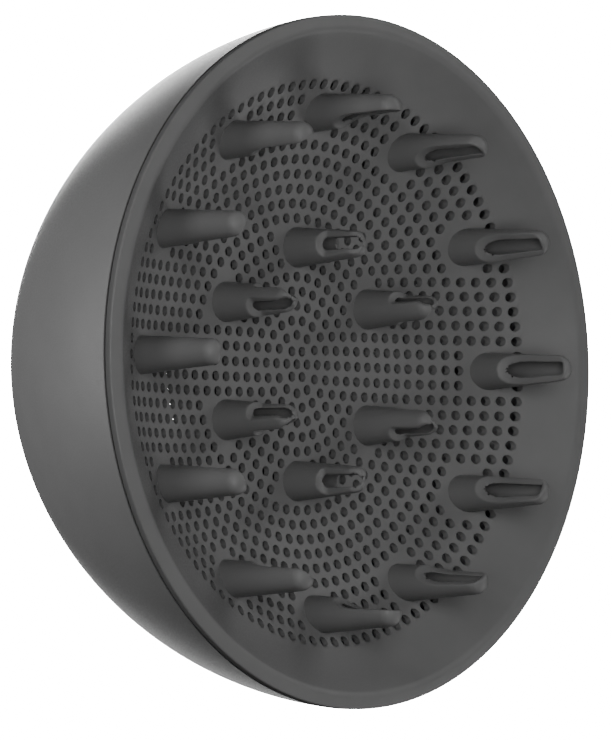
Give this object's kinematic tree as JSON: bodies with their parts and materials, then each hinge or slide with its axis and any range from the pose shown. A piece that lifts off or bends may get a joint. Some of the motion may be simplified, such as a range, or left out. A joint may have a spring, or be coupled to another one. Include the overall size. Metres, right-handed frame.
{
  "type": "hair dryer diffuser",
  "caption": "Deep bowl diffuser for a hair dryer, with a dished perforated front, hollow cut-open prongs and a swivelling magnetic socket in its rear neck.",
  "frame": {"origin": "centre of the rear neck's mouth, which is the bottom centre of the part's box", "axes": "+Z along the air's path, from the rear mouth to the prongs; +X through one of the outer prongs"},
  "size_m": [0.1524, 0.1524, 0.0887],
  "materials": {
    "shell_plastic": "satin charcoal, faint fine grain",
    "grille_plastic": "satin charcoal moulding",
    "soft_rubber": "black elastomer",
    "liner_plastic": "natural grey heat-resistant plastic",
    "seal_silicone": "brick-red silicone",
    "inner_plastic": "glass-filled nylon",
    "screw_steel": "zinc-plated steel",
    "slide_plastic": "natural acetal",
    "coupling_plastic": "dense black plastic, fine matt",
    "magnet_nickel": "nickel-plated magnet",
    "yoke_steel": "stamped steel"
  },
  "bodies": {
    "diffuser": {"bowl_shell": "shell_plastic", "rear_bumper": "soft_rubber", "front_grille": "grille_plastic", "seam_gasket": "soft_rubber", "heat_shield": "liner_plastic", "shield_seal": "seal_silicone", "swivel_housing": "inner_plastic", "housing_seal": "seal_silicone", "housing_screws": "screw_steel", "lower_slide_washer": "slide_plastic", "upper_slide_washer": "slide_plastic", "retaining_ring": "inner_plastic", "retaining_screws": "screw_steel", "spreader_frame": "inner_plastic", "spreader_cone": "inner_plastic", "spreader_screw": "screw_steel"},
    "coupling": {"coupling_ring": "coupling_plastic", "socket_seal": "seal_silicone", "magnets": "magnet_nickel", "yoke_ring": "yoke_steel", "magnet_cover": "coupling_plastic", "cover_screws": "screw_steel"}
  },
  "joints": [
    {"name": "coupling_swivel", "type": "hinge", "parent": "diffuser", "child": "coupling", "pos_m": [0, 0, 0.01], "axis": [0, 0, 1], "continuous": true}
  ]
}
